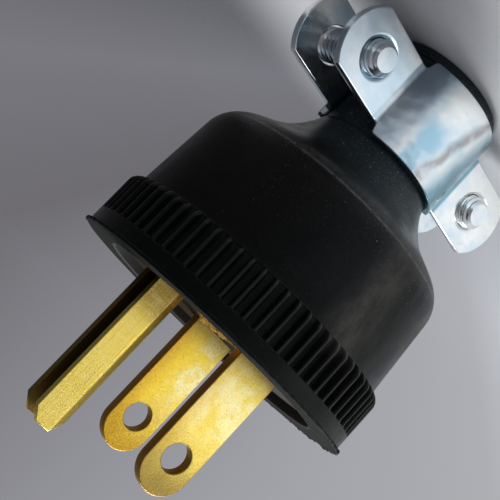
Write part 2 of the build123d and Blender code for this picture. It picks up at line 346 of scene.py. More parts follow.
def outset(points, distance):
    """A closed contour moved outwards by a distance; inwards where it is negative."""
    moved = []
    for index, point in enumerate(points):
        ahead = (points[(index + 1) % len(points)] - point).normalized()
        behind = (point - points[index - 1]).normalized()
        outward = Vector((ahead.y + behind.y, -ahead.x - behind.x)).normalized()
        stretch = max(0.5, outward.dot(Vector((ahead.y, -ahead.x))))
        moved.append(point + outward * (distance / stretch))
    return moved


def edge_arc(half, edge, steps):
    """Rings round the upper edge of a sheet as (distance in from the edge, height)."""
    turns = divided(0, pi / 2, steps)
    return [(edge * (1 - sin(turn)), half - edge * (1 - cos(turn))) for turn in turns]


def edge_profile(half, edge, steps=3):
    """Rings round both edges of a sheet, from its top face to its bottom."""
    arc = edge_arc(half, edge, steps)
    return arc + [(inset, -height) for inset, height in reversed(arc)]


def bent_line(start, way, *stretches):
    """A function that gives the place at a run along a line and an offset to its left. The line sets out
    at an angle, and its stretches are (length, radius): 0 if straight, below 0 if bent to the right."""

    def place(run, offset):
        spot, ahead = complex(*start), rect(1, way)
        for length, radius in stretches:
            part = min(run, length)
            turn = rect(1, part / radius) if radius else 1
            spot += ahead * (1j * radius * (1 - turn) if radius else part)
            ahead *= turn
            run -= part
        spot += 1j * ahead * offset
        return spot.real, spot.imag

    return place


# Slack of the sheets' cuts and welds, and the step on both sides of a sheet that gives its facing
CUT_SLACK = 1e-5
WELD_DISTANCE = 1e-7
SHEET_STEP = 0.01
FLAT_FACE = 0.999


def bent_sheet(contours, cuts, place):
    """A closed sheet: flat contours with edge profiles, cut across at the given runs, then bent by place.
    The outside's contour runs anticlockwise, and those of holes run clockwise."""
    sheet = bmesh.new()
    caps = ([], [])
    for points, profile in contours:
        rings = []
        for inset, height in profile:
            rings.append([sheet.verts.new((p.x, p.y, height)) for p in outset(points, -inset)])
        for upper, lower in zip(rings, rings[1:]):
            for (a, b), (c, d) in zip(looped(upper), looped(lower)):
                sheet.faces.new((a, c, d, b))
        for cap, ring in zip(caps, (rings[0], rings[-1])):
            cap += [sheet.edges.get(pair) for pair in looped(ring)]
    for cap in caps:
        for rim in cap:
            rim.smooth = False
        bmesh.ops.triangle_fill(sheet, edges=cap, use_beauty=True, use_dissolve=False)
    for run in cuts:
        geometry = sheet.verts[:] + sheet.edges[:] + sheet.faces[:]
        bmesh.ops.bisect_plane(
            sheet, geom=geometry, dist=CUT_SLACK, plane_co=(run, 0, 0), plane_no=(1, 0, 0)
        )
    sheet.normal_update()
    facing = sheet.loops.layers.float_vector.new("facing")
    for face in sheet.faces:
        if abs(face.normal.z) > FLAT_FACE:
            for corner in face.loops:
                s, w, n = corner.vert.co
                outward = Vector(place(s, w, n + SHEET_STEP)) - Vector(place(s, w, n - SHEET_STEP))
                corner[facing] = outward.normalized() * (1 if n > 0 else -1)
    for vertex in sheet.verts:
        vertex.co = Vector(place(*vertex.co)) * MM
    bmesh.ops.remove_doubles(sheet, verts=sheet.verts, dist=WELD_DISTANCE)
    bmesh.ops.recalc_face_normals(sheet, faces=sheet.faces)
    return sheet


def finished(*shapes):
    """One mesh from bmesh shapes."""
    whole = bpy.data.meshes.new("whole")
    joined = bmesh.new()
    for shape in shapes:
        part = bpy.data.meshes.new("part")
        shape.to_mesh(part)
        joined.from_mesh(part)
        bpy.data.meshes.remove(part)
        shape.free()
    joined.to_mesh(whole)
    joined.free()
    return whole


def add_node(tree, kind, inputs=None, **settings):
    """A new shader node, whose inputs are values or other nodes' outputs."""
    node = tree.nodes.new("ShaderNode" + kind)
    for setting, value in settings.items():
        setattr(node, setting, value)
    for socket, value in (inputs or {}).items():
        if isinstance(value, bpy.types.NodeSocket):
            tree.links.new(value, node.inputs[socket])
        else:
            node.inputs[socket].default_value = value
    return node


# Sums on nodes' outputs, each made as a new node in the same tree
def compute(operation, first, second=0.0, third=0.0):
    inputs = {0: first, 1: second, 2: third}
    return add_node(first.id_data, "Math", inputs, operation=operation).outputs[0]


def times(product, *factors):
    for factor in factors:
        product = compute("MULTIPLY", product, factor)
    return product


def most(largest, *others):
    for other in others:
        largest = compute("MAXIMUM", largest, other)
    return largest


def plus(first, second, share=1.0):
    """The first value and a share of the second."""
    return compute("MULTIPLY_ADD", second, share, first)


def off(value, middle=0.0):
    """How far a value is from a middle, on either side."""
    return compute("ABSOLUTE", compute("SUBTRACT", value, middle))


def vectors(operation, first, second=(0, 0, 0)):
    outputs = add_node(first.id_data, "VectorMath", {0: first, 1: second}, operation=operation).outputs
    return outputs["Value" if operation in ("LENGTH", "DISTANCE", "DOT_PRODUCT") else "Vector"]


def split(vector):
    return add_node(vector.id_data, "SeparateXYZ", {"Vector": vector}).outputs


def fade(value, low, high, to_low=0.0, to_high=1.0):
    """A smooth step between two values, at and past which it is to_low and to_high."""
    inputs = {"Value": value, "From Min": low, "From Max": high, "To Min": to_low, "To Max": to_high}
    return add_node(value.id_data, "MapRange", inputs, interpolation_type="SMOOTHSTEP").outputs["Result"]


def mix(share, *colours):
    """The first of two colours, mixed with a share of the second."""
    first, second = ((*colour, 1) if isinstance(colour, tuple) else colour for colour in colours)
    return add_node(share.id_data, "Mix", {0: share, 6: first, 7: second}, data_type="RGBA").outputs[2]


def gradient(value, stops):
    node = add_node(value.id_data, "ValToRGB", {"Fac": value})
    ends = node.color_ramp.elements
    while len(ends) < len(stops):
        ends.new(0.5)
    for end, (position, colour) in zip(ends, stops):
        end.position = position
        end.color = (*colour, 1)
    return node.outputs["Color"]


def bump(height, strength, distance, normal=None):
    inputs = {"Height": height, "Strength": strength, "Distance": distance * MM}
    if normal:
        inputs["Normal"] = normal
    return add_node(height.id_data, "Bump", inputs).outputs["Normal"]


class Look:
    """A material of one principled shader; place is the point on the object in millimetres."""

    def __init__(self, name, **sockets):
        self.material = bpy.data.materials.new(name)
        self.material.use_nodes = True
        self.tree = self.material.node_tree
        self.shader = self.tree.nodes["Principled BSDF"]
        for socket, value in sockets.items():
            self.shader.inputs[socket.replace("_", " ")].default_value = value
        metres = add_node(self.tree, "TexCoord").outputs["Object"]
        self.place = vectors("MULTIPLY", metres, (1 / MM, 1 / MM, 1 / MM))

    def noise(self, scale, detail=3.0, rough=0.55, stretch=(1, 1, 1)):
        place = vectors("MULTIPLY", self.place, stretch)
        inputs = {"Vector": place, "Scale": scale, "Detail": detail, "Roughness": rough}
        return add_node(self.tree, "TexNoise", inputs).outputs["Fac"]

    def attribute(self, name):
        return add_node(self.tree, "Attribute", attribute_name=name).outputs["Fac"]

    def facing(self):
        """The three parts of the surface's normal."""
        return split(add_node(self.tree, "NewGeometry").outputs["Normal"])

    def radius(self):
        """Distance from the plug's axis."""
        return vectors("LENGTH", vectors("MULTIPLY", self.place, (1, 1, 0)))

    def coat(self, colour, *shares):
        """Lays a colour over what is there, as far as all the shares let it."""
        self.colour = mix(times(*shares), self.colour, colour)

    def use(self, **sockets):
        """Feeds the colour and the given values to the shader, and hands the material back."""
        for socket, value in {"Base_Color": self.colour, **sockets}.items():
            self.tree.links.new(value, self.shader.inputs[socket.replace("_", " ")])
        return self.material


# Colours of the rubber, of what lies on it, and of the light and shade painted on it
BLACK_RUBBER = ((0.0014, 0.002, 0.0014), (0.0036, 0.0048, 0.004))
BROWN_CAST = (0.0085, 0.0042, 0.0035)
PAINTED_BLUE_SHEEN = (0.0055, 0.0085, 0.0105)
SMEAR_AND_SIDE_LIGHT = (0.052, 0.049, 0.043)
PAINTED_HIGHLIGHT_STREAK = (0.095, 0.091, 0.081)
NECK_BLUE_GREY = (0.019, 0.028, 0.033)
SETTLED_DUST = (0.06, 0.06, 0.058)
SEAM_DUST_AND_HIGHLIGHT = (0.15, 0.15, 0.145)
DUST_SPECK = (0.4, 0.39, 0.36)
WEAR_AND_PAINTED_LIGHT_RUBBER = (0.043, 0.048, 0.046)
PAINTED_RECESS_LIGHT = (0.04, 0.04, 0.042)
TORN_RUBBER = (0.004, 0.004, 0.004)

# Height of the moulding seam on the shoulder, and direction of the painted highlight streak on the drum
SEAM_HEIGHT = 21.45
HIGHLIGHT_STREAK_WAY = -0.07


def rubber_look():
    """Black moulded rubber: satin, faintly mottled, with pale dust in specks and smears, and painted light
    and highlights.
    """
    look = Look("black_rubber", Specular_IOR_Level=0.145)
    x, y, z = split(look.place)
    mottle = look.noise(0.35, 4)
    look.colour = mix(mottle, *BLACK_RUBBER)
    look.coat(BROWN_CAST, fade(y, 8, 16), fade(z, 36, 24), 0.7)
    # Painted reflection: a faint blue sheen on the drum's front
    front = times(fade(y, 11, 4), fade(y, -4, 2), fade(x, 0, 8))
    look.coat(PAINTED_BLUE_SHEEN, front, fade(z, 34, 29), 0.6)

    cloudy = fade(look.noise(0.3, 6, 0.65, stretch=(1, 1, 0.35)), 0.45, 0.68)
    thin_on_band = fade(z, RING_FOOT, FACE - 1, 1, 0.45)
    # Pale dust smears, made heavier towards the window side (−y) as painted light
    look.coat(SMEAR_AND_SIDE_LIGHT, cloudy, fade(y, 2, -9, 0.05, 0.34), thin_on_band)
    # Painted highlight: a pale streaky band down the drum at one angle, standing for the window's gloss
    highlight_streak = fade(off(compute("ARCTAN2", y, x), HIGHLIGHT_STREAK_WAY), 0.24, 0)
    streaky = fade(look.noise(0.5, 6, 0.7, stretch=(1, 1, 0.5)), 0.3, 0.7, 0.25, 1)
    on_drum = times(fade(z, 36, 33), fade(z, 19, 25))
    look.coat(PAINTED_HIGHLIGHT_STREAK, highlight_streak, streaky, on_drum, 0.75)
    # Bluish grey over the neck
    look.coat(NECK_BLUE_GREY, fade(z, 19, 15, 0, 0.75))

    under_seam = times(fade(z, 20, 20.7), fade(z, 21.9, 21.5))
    look.coat(SETTLED_DUST, under_seam, fade(look.noise(1.6, 4, 0.6), 0.3, 0.62, 0.3, 1), 0.4)
    # A thin pale line along the shoulder: dust, with a painted highlight along the edge
    seam = fade(off(z, SEAM_HEIGHT), 0.2, 0.06)
    look.coat(SEAM_DUST_AND_HIGHLIGHT, seam, fade(look.noise(1.1, 5, 0.7), 0.38, 0.66, 0.12, 1), 0.65)
    dusty = fade(z, 22.5, 20, 0, 0.03)
    specks = fade(plus(look.noise(5.5, 2, 0.5), dusty), 0.715, 0.755)
    fine = fade(plus(look.noise(9, 2, 0.5), dusty), 0.705, 0.745)
    thick = most(fade(look.noise(0.22, 3), 0.36, 0.6), fade(z, 22, 19))
    look.coat(DUST_SPECK, most(specks, fine), thick, fade(z, 30, 21, 0.3, 1), 0.8)

    # Paler rib crests, groove floors and lip edge: wear, with a painted highlight on the crests and painted
    # light in the grooves
    look.coat(WEAR_AND_PAINTED_LIGHT_RUBBER, look.attribute("wear_and_painted_light"), 0.62)
    # Painted light: the recess's walls made paler against their shade
    within = fade(look.radius(), RECESS_RADIUS + 0.45, RECESS_RADIUS + 0.2)
    inside = times(within, fade(z, FLARE_TOP + 6, FLARE_TOP + 8))
    look.coat(PAINTED_RECESS_LIGHT, inside)
    torn = look.attribute("torn")
    look.coat(TORN_RUBBER, torn)
    upward = look.facing()[2]
    matt = most(times(inside, 0.75), times(torn, 0.95), fade(upward, 0.8, 0.95))
    roughness = most(fade(mottle, 0.2, 0.8, 0.3, 0.44), matt)
    grain = look.noise(9, 5, 0.65)
    normal = bump(grain, 0.25, 0.03, bump(look.noise(1.1, 3), 0.25, 0.08))
    return look.use(Roughness=roughness, Normal=normal)


# Colours of the brass; a pair runs with the clouds, from blade to blade, or from the blades to the pin
LEMON_BRASS = ((0.88, 0.66, 0.12), (0.93, 0.76, 0.2))
PAINTED_GLARE_CLOUD = (0.94, 0.88, 0.48)
WARM_BRASS_AND_SHADE = (0.93, 0.67, 0.04)
SHADED_EDGE = (0.7, 0.42, 0.06)
BLADE_ENDS = ((0.38, 0.27, 0.07), (0.6, 0.36, 0.035))
PIN_STREAK = (0.56, 0.43, 0.1)
FOOT_DARKENING = ((0.42, 0.31, 0.09), (0.3, 0.2, 0.05))
BROWN_SPOT = (0.12, 0.06, 0.02)
BRASS_GRAIN = (0.4, 0.28, 0.05)
BUFFED_BRASS = (0.97, 0.87, 0.46)
EDGE_AND_HOLLOW_SHADE = ((0.42, 0.21, 0.035), (0.13, 0.08, 0.03))


def brass_look():
    """Stamped brass: lemon gold, orange or olive ends and a fine grain, with painted glare near the face and
    painted shade on its edges.
    """
    look = Look("brass", Metallic=0.97)
    x, y, z = split(look.place)
    on_pin = fade(y, 4.6, 5.2)
    on_blades = fade(y, 4.6, 5.2, 1, 0)
    on_neutral = fade(x, 1, -1)
    neutral_shaded_side = times(fade(y, BLADE_Y - 1, BLADE_Y + 1.2), on_neutral)
    grain = look.noise(6.5, 3, 0.6)
    streak = look.noise(4, 4, 0.6, stretch=(1, 1, 0.045))
    buffed = look.noise(2.6, 3, 0.6, stretch=(0.15, 0.15, 1))
    cloud = look.noise(0.3, 3, 0.5)

    look.colour = mix(cloud, *LEMON_BRASS)
    # Painted highlight: pale glare in clouds on the blades near the face, little on the neutral blade's
    # shaded side
    cloudy = fade(look.noise(0.42, 4, 0.5), 0.38, 0.56)
    low_down = fade(z, FACE + 11, FACE + 5)
    look.coat(PAINTED_GLARE_CLOUD, cloudy, low_down, on_blades, fade(neutral_shaded_side, 0, 1, 0.8, 0.15))
    # Warm orange patches of the brass, and painted shade in orange along the neutral blade's +y side
    warm = fade(look.noise(0.6, 5, 0.6), 0.46, 0.62)
    warm = times(warm, fade(on_neutral, 0, 1, 0.22, 0.7))
    look.coat(WARM_BRASS_AND_SHADE, most(warm, times(neutral_shaded_side, 0.75)))
    edge = times(fade(y, BLADE_Y + 0.8, BLADE_Y + BLADE_HALF), on_blades)
    look.coat(SHADED_EDGE, edge, fade(on_neutral, 0, 1, 0.5, 0.8))
    end = fade(plus(z, cloud, -5), FACE + 6, BLADE_TOP - 3)
    look.coat(mix(on_neutral, *BLADE_ENDS), end, on_blades)
    look.coat(PIN_STREAK, on_pin, fade(streak, 0.48, 0.7, 0, 0.4))
    # Darker towards the face, reaching higher on the pin
    foot = fade(plus(z, on_pin, -2.5), FACE + 2.6, FACE - 1)
    look.coat(mix(on_pin, *FOOT_DARKENING), foot, fade(grain, 0.3, 0.6, 0.6, 0.9))
    look.coat(BROWN_SPOT, fade(look.noise(2.6, 3, 0.6), 0.71, 0.76), 0.7)
    look.coat(BRASS_GRAIN, fade(grain, 0.5, 0.66), fade(z, FACE + 5, BLADE_TOP, 0.24, 0.42))
    look.coat(BUFFED_BRASS, on_pin, fade(buffed, 0.46, 0.66, 0, 0.18))

    across, along, _ = look.facing()
    # Painted shade: dark brown in the pin's hollow, on faces turned towards +y and on the blades' edges and
    # tip rims, damping their glints
    hollow = times(on_pin, fade(off(x), 1.6, 1.45), 0.85)
    near_leg = times(on_pin, fade(x, 0, 1))
    cut_edge = times(fade(along, 0.55, 0.9), fade(near_leg, 0, 1, 0.9, 0.2))
    flank = times(fade(off(across), 0.96, 0.7), on_blades, 0.65)
    look.coat(mix(on_pin, *EDGE_AND_HOLLOW_SHADE), most(hollow, cut_edge, flank))
    roughness = fade(grain, 0.25, 0.75, 0.36, 0.5)
    fine = bump(grain, fade(z, FACE + 4, BLADE_TOP, 0.35, 1), 0.04)
    normal = bump(mix(on_pin, cloud, plus(streak, buffed)), 0.2, 0.06, fine)
    return look.use(Roughness=roughness, Normal=normal)


# Colours of the zinc plate, and of the reflections and shade painted on it
BRIGHT_ZINC = ((0.68, 0.82, 0.9), (0.95, 0.97, 0.95))
ZINC_STREAK = (0.44, 0.41, 0.38)
ZINC_PIT = (0.25, 0.24, 0.24)
BROWN_LINE = (0.25, 0.215, 0.22)
PAINTED_TEAL_REFLECTION = (0.2, 0.38, 0.46)
PAINTED_SKY_REFLECTION = (0.28, 0.56, 0.73)
PAINTED_DARK_REFLECTION = (0.19, 0.25, 0.315)
PAINTED_SHAFT_SHADE = (0.2, 0.27, 0.33)
PAINTED_EAR_REFLECTION = (0.45, 0.55, 0.63)


def plated_look():
    """Bright zinc plate on steel: white with a blue cast in places, soft waves, pits and a brown line, with
    painted reflections and shade.
    """
    look = Look("zinc_plate", Metallic=0.95)
    x, y, z = split(look.place)
    radius = look.radius()
    on_strap = fade(radius, 9.7, 9.4)
    uneven = look.noise(0.4, 2, 0.5)
    swing = compute("SUBTRACT", compute("ARCTAN2", y, x), CLAMP_TURN + 0.11)
    swing = plus(swing, look.noise(0.3, 2), 0.22)
    in_front = times(on_strap, fade(off(swing), 1.25, 1.05))
    slant = plus(swing, z, -0.032)
    away = vectors("DOT_PRODUCT", look.place, CLAMP_ACROSS)

    look.colour = mix(fade(look.noise(0.2, 3, 0.5), 0.38, 0.62), *BRIGHT_ZINC)
    look.coat(ZINC_STREAK, fade(look.noise(1.6, 4, 0.6, stretch=(0.3, 0.3, 1)), 0.56, 0.74), 0.2)
    look.coat(ZINC_PIT, fade(look.noise(7, 2), 0.7, 0.76), 0.4)
    line = times(fade(off(slant, -0.25), 0.15, 0.01), on_strap)
    look.coat(BROWN_LINE, line, fade(look.noise(0.6, 2), 0.25, 0.55, 0.5, 1), 0.7)
    # Painted reflection: teal on the strap's front below the brown line
    look.coat(PAINTED_TEAL_REFLECTION, fade(slant, -0.24, -0.71), in_front, 0.95)
    # Painted reflection: a sky-blue patch on the strap
    sky_reflection_patch = times(fade(off(swing, 0.36), 0.24, 0.08), fade(z, 5.5, 8), on_strap)
    look.coat(PAINTED_SKY_REFLECTION, sky_reflection_patch, fade(uneven, 0.36, 0.52, 0.35, 1), 0.75)
    # Painted reflection: dark navy on the strap's front near its fold towards the +y ear, deeper towards the
    # cord end
    top = fade(plus(swing, uneven, 0.3), 0.68, 0.86)
    look.coat(PAINTED_DARK_REFLECTION, top, fade(z, 9.5, 4, 0.25, 1), in_front, 0.88)
    # Painted shade: the screws' shafts darker between the ears
    look.coat(PAINTED_SHAFT_SHADE, fade(off(away), 3.5, 3.1), fade(radius, 9.7, 10), 0.75)
    # Painted reflection: blue-grey towards the outer end of the front half's +y ear
    front_ear = times(fade(y, 0, 4), fade(away, 2, 3))
    look.coat(PAINTED_EAR_REFLECTION, fade(radius, 12.5, 18), front_ear, 0.75)

    roughness = fade(look.noise(1.2, 4), 0.3, 0.7, 0.12, 0.22)
    waves = bump(look.noise(0.22, 2), fade(in_front, 0, 1, 0.35, 0.8), 0.4)
    normal = bump(look.noise(14, 3), 0.1, 0.012, bump(look.noise(2.5, 3), 0.12, 0.04, waves))
    return look.use(Roughness=roughness, Normal=normal)


# Colours of the fibre board, and the middle of the patch of light painted on it
BROWN_FIBRE = ((0.016, 0.013, 0.01), (0.05, 0.04, 0.028))
PAINTED_LIGHT_FIBRE = (0.1, 0.102, 0.1)
GOLDEN_LIT_FIBRE = ((0.22, 0.12, 0.022), (0.54, 0.335, 0.08))
LIT_PATCH_MIDDLE = (4, 2.3, 0)


def fibre_look():
    """Pressed fibre board: dull brown with fine flecks, with painted light: paler towards −y, golden tan
    beside the blades and on its torn fibres.
    """
    look = Look("fibre_board", IOR=1)
    _, y, z = split(look.place)
    flecks = look.noise(5, 5, 0.7)
    look.colour = mix(flecks, *BROWN_FIBRE)
    ragged = look.noise(0.4, 5, 0.65)
    # Painted light: paler grey towards −y, against the shade in that part of the recess
    look.coat(PAINTED_LIGHT_FIBRE, fade(plus(y, ragged, 9), -1, -6, 0, 0.7))
    # Painted light: golden tan in a ragged patch beside the blades and on the raised fibres, standing for
    # light from the brass
    away = vectors("DISTANCE", vectors("MULTIPLY", look.place, (1, 1.3, 0)), LIT_PATCH_MIDDLE)
    lit_patch = fade(plus(away, ragged, 9), 11.3, 8.9)
    patchy = fade(look.noise(1, 5, 0.7), 0.5, 0.58, 1, 0)
    raised = fade(z, DISC_TOP + 0.05, DISC_TOP + 0.2)
    raised = times(raised, fade(look.noise(2.2, 4, 0.65), 0.57, 0.49))
    look.coat(mix(flecks, *GOLDEN_LIT_FIBRE), most(times(lit_patch, patchy), raised))
    roughness = fade(flecks, 0.2, 0.8, 0.7, 0.9)
    return look.use(Roughness=roughness, Normal=bump(flecks, 0.5, 0.05))


GREEN_LACQUER = (0.03, 0.2, 0.07)
BARE_STEEL = (0.35, 0.36, 0.34)


def green_look():
    """Green lacquer over a steel screw, worn to metal in places."""
    look = Look("green_lacquer", Metallic=0.4, Coat_Weight=0.3)
    look.colour = mix(fade(look.noise(3, 4, 0.6), 0.62, 0.7), GREEN_LACQUER, BARE_STEEL)
    roughness = fade(look.noise(6, 3), 0.3, 0.7, 0.3, 0.5)
    return look.use(Roughness=roughness, Normal=bump(look.noise(8, 3), 0.2, 0.02))


rubber = rubber_look()
brass = brass_look()
plated = plated_look()
fibre = fibre_look()
green = green_look()


# Rubber body: its section turned about the axis, with fine columns over the ribbed ring
SHOULDER_FOOT = FLARE_TOP + (DRUM_BOTTOM_RADIUS - FLARE_RADIUS) * tan(SHOULDER_SLOPE)

# Corners of the section as (radius, height, round), from the bore round the outside to the wiring cavity
NECK_CORNERS = (
    (BORE_RADIUS, FOOT_BOTTOM - BORE_EDGE, 0),
    (BORE_RADIUS, 0, 0.25),
    (NECK_RADIUS, 0, 0.5),
    (NECK_RADIUS, SEAT_BOTTOM, 0.08),
    (SEAT_RADIUS, SEAT_BOTTOM, 0.05),
    (SEAT_RADIUS, SEAT_TOP, 0.05),
    (NECK_RADIUS, SEAT_TOP, 0),
)
RIM_CORNERS = (
    (FLARE_RADIUS, FLARE_TOP, 0),
    (DRUM_BOTTOM_RADIUS, SHOULDER_FOOT, SHOULDER_ROUND),
    (DRUM_TOP_RADIUS, RING_FOOT, 0.12),
    (RING_RADIUS, RING_FOOT, RING_ROUND),
    (RING_RADIUS, BAND_BOTTOM - 2 * GROOVE_END, 0),
    (RING_RADIUS, BAND_BOTTOM + GROOVE_END, 0),
    (RING_RADIUS, LIP_FOOT, 0.12),
    (RING_RADIUS + LIP_REACH, LIP_FOOT, 0.1),
    (RING_RADIUS + LIP_REACH, FACE, 0.12),
    (RECESS_RADIUS, FACE, 0.2),
    (RECESS_RADIUS, DISC_BOTTOM, 0),
    (CAVITY_RADIUS, DISC_BOTTOM, 0.1),
    (CAVITY_RADIUS, FOOT_BOTTOM, 0.4),
    (BORE_RADIUS, FOOT_BOTTOM, 0.2),
    (BORE_RADIUS, FOOT_BOTTOM - BORE_EDGE, 0),
)


def flare_points():
    """The hollow curve from the neck out to the shoulder, tangent to the shoulder's slope."""
    start = Vector((NECK_RADIUS, SEAT_TOP))
    end = Vector((FLARE_RADIUS, FLARE_TOP))
    inward = Vector((sin(SHOULDER_SLOPE), -cos(SHOULDER_SLOPE)))
    span = end - start
    radius = -span.length_squared / (2 * span.dot(inward))
    return arc_points(end + inward * radius, start, end, FLARE_STEPS)


def row_spacing(point):
    """Step between the rows of the body's mesh, closer on the ribbed ring."""
    if point.x < DRUM_TOP_RADIUS + 0.05 or not RING_FOOT <= point.y < BAND_BOTTOM + GROOVE_END:
        return PLAIN_STEP
    along_ribs = RING_FOOT + RING_ROUND < point.y < BAND_BOTTOM - 2 * GROOVE_END
    return RIB_STEP if along_ribs else RIB_END_STEP


def groove_share(u, z):
    """How far a place on the ring is sunk into a groove: 0 on a rib, 1 on the groove's floor."""
    outside = np.maximum(np.abs(u) - GROOVE_HALF, z - BAND_BOTTOM)
    return 1 - smoothstep(*GROOVE_WALL, outside)


def groove_floor(z):
    """Radius of the grooves' floors, which run out into the drum at the ring's foot."""
    return np.interp(z, (RING_FOOT, BAND_BOTTOM), (DRUM_TOP_RADIUS, GROOVE_FLOOR))


def ring_faces(rings):
    """Faces between rings of points, each joined to the next, also where one has fewer points."""
    faces = []
    for low, high in looped(rings):
        if len(low) == len(high):
            faces += [(a, b, d, c) for (a, b), (c, d) in zip(looped(low), looped(high))]
            continue
        few, many = (low, high) if len(low) < len(high) else (high, low)
        for i in range(len(few)):
            j = (i + 1) % len(few)
            run = [many[(COARSE * i + COARSE - 1 + k) % len(many)] for k in range(COARSE + 1)]
            face = [few[j], few[i]] + run
            faces.append(tuple(face[::-1]) if few is low else tuple(face))
    return faces


def body_mesh():
    """The body's mesh, with one value for its worn edges, pale rib crests and lifted groove floors, and one
    for its torn lip.
    """
    pitch = 2 * pi / RIB_COUNT
    half_pitch = pitch * RING_RADIUS / 2
    columns = [-u for u in reversed(GROOVE_COLUMNS)] + [0.0, *GROOVE_COLUMNS, half_pitch]
    u = np.tile(columns, RIB_COUNT)
    angles = np.repeat(FIRST_GROOVE + pitch * np.arange(RIB_COUNT), len(columns)) + u / RING_RADIUS
    rib_run = half_pitch - np.abs(u)
    crown = RIB_CROWN * np.clip(rib_run / (RIB_WIDTH / 2), 0, 1) ** 2

    # Share of the lip's reach that is left in each direction, and how far torn fins stand up from it
    ragged = rim_noise(angles, 6, 3.7) + 0.6 * rim_noise(angles, 22, 9.1)
    teeth = rim_noise(angles, 26, 4.4) + 0.7 * rim_noise(angles, 60, 8.2)
    chips = np.clip(rim_noise(angles, 9, 21.3) - 0.1, 0, 1)
    torn = near(angles, *TORN_STRETCH)
    pulled = sum(near(angles, *stretch) for stretch in PULLED_STRETCHES)
    flash = np.clip(0.34 + 0.35 * ragged + torn * (0.3 + 1.5 * teeth) + 0.6 * pulled, 0.06, 1.0)
    fin = FIN_HEIGHT * np.clip(torn * (0.15 + teeth + 0.7 * ragged) + 0.5 * pulled, 0, 1)

    points, wear_and_painted_light, tears, rings = [], [], [], []
    neck, rim = rounded(*NECK_CORNERS), rounded(*RIM_CORNERS, steps=RIM_STEPS)
    section = neck[:-1] + flare_points()[:-1] + rim[:-1]
    for spot in spaced(section, row_spacing):
        fine = spot.x > DRUM_TOP_RADIUS - 0.3 and spot.y > RING_FOOT - 1.2
        pick = slice(None) if fine else slice(COARSE - 1, None, COARSE)
        a = angles[pick]
        z = np.full(len(a), spot.y)
        r = np.full(len(a), spot.x)
        crest, edge, tear = 0 * a, 0.0, 0 * a
        if spot.x > DRUM_TOP_RADIUS and RING_FOOT <= spot.y < FACE - 1:
            sunk = groove_share(u[pick], z)
            rise = min(spot.y, RING_FOOT + RING_ROUND) - RING_FOOT
            rise += min(spot.x, RING_RADIUS) - DRUM_TOP_RADIUS
            level = RING_FOOT + rise * RING_ROUND / (RING_ROUND + RING_RADIUS - DRUM_TOP_RADIUS)
            level = max(spot.y, level)
            r = r - crown[pick] * (1 - sunk) * smoothstep(BAND_BOTTOM, BAND_BOTTOM - 0.4, z)
            r = r + np.minimum(0, groove_floor(level) - r) * sunk
            z = z + (level - z) * sunk
            if spot.y < BAND_BOTTOM:
                # Rib crests pale from wear and a painted highlight; groove floors lifted by painted light
                # against their shade
                crest = np.maximum(np.exp(-((rib_run[pick] / RIB_CREST) ** 2)), 0.22 * sunk)
        if spot.x > RING_RADIUS:
            r = RING_RADIUS + (spot.x - RING_RADIUS) * flash[pick]
            z = z + fin[pick] * (spot.y > FACE - 0.2)
            edge = 0.1 * np.exp(-(((spot.y - FACE + 0.15) / 0.25) ** 2))
        if spot.x > RING_RADIUS + 0.15:
            tear = np.maximum(torn[pick], 0.6)
        if abs(spot.x - RECESS_RADIUS) < 0.3 and spot.y > DISC_TOP:
            r = r + CHIP_DEPTH * chips[pick]
        rings.append(range(len(points), len(points) + len(a)))
        points += list(zip(r * np.cos(a), r * np.sin(a), z))
        wear_and_painted_light += list(np.clip(crest + edge, 0, 1))
        tears += list(tear)
    mesh = mesh_of(points, ring_faces(rings))
    mesh.attributes.new("wear_and_painted_light", "FLOAT", "POINT").data.foreach_set("value", wear_and_painted_light)
    mesh.attributes.new("torn", "FLOAT", "POINT").data.foreach_set("value", tears)
    return mesh


body = new_piece("rubber_body", body_mesh(), rubber)
body.modifiers.new("flat faces", "WEIGHTED_NORMAL").keep_sharp = True


# Fibre disc, its slots cut a little ragged
def ragged_loop(points, seed):
    """A slot's contour with its points moved about by noise."""
    moved = []
    for point in points:
        x, y = point * 1.7
        moved.append(point + Vector((wobble(x, y, seed), wobble(x, y, seed + 7))) * SLOT_RAG)
    return moved


def slot_contour(x, y, half_x, half_y):
    """Contour of the slot round a prong of a given middle and half widths, with close points."""
    half_x += SLOT_CLEARANCE
    half_y += SLOT_CLEARANCE
    sides = ((1, 1), (-1, 1), (-1, -1), (1, -1))
    corners = [(x + half_x * i, y + half_y * j, SLOT_CORNER) for i, j in sides]
    start = (x + half_x, y, 0)
    return spaced(rounded(start, *corners, start), lambda point: SLOT_STEP)[:0:-1]


def crust_height(x, y):
    """How far the board's torn, swollen fibres stand up between the prongs' slots."""
    reach = sum(((p - m) / r) ** 2 for p, m, r in zip((x, y), CRUST_MIDDLE, CRUST_REACH))
    edge = 0.85 - reach + 0.8 * wobble(0.7 * x, 0.7 * y, 1.3) + 0.5 * wobble(2.0 * x, 2.0 * y, 6.1)
    lumps = 0.7 + 0.5 * wobble(1.5 * x, 1.5 * y, 3.9) + 0.3 * wobble(4.2 * x, 4.2 * y, 8.7)
    clear = smoothstep(*CRUST_NEUTRAL_END, x) * smoothstep(*CRUST_BLADE_END, y)
    clear *= smoothstep(*CRUST_PIN_END, y) * smoothstep(*CRUST_SLANT_END, x - CRUST_SLANT * y)
    return float(CRUST_HEIGHT * smoothstep(0.0, 0.3, edge) * max(0, lumps) * clear)


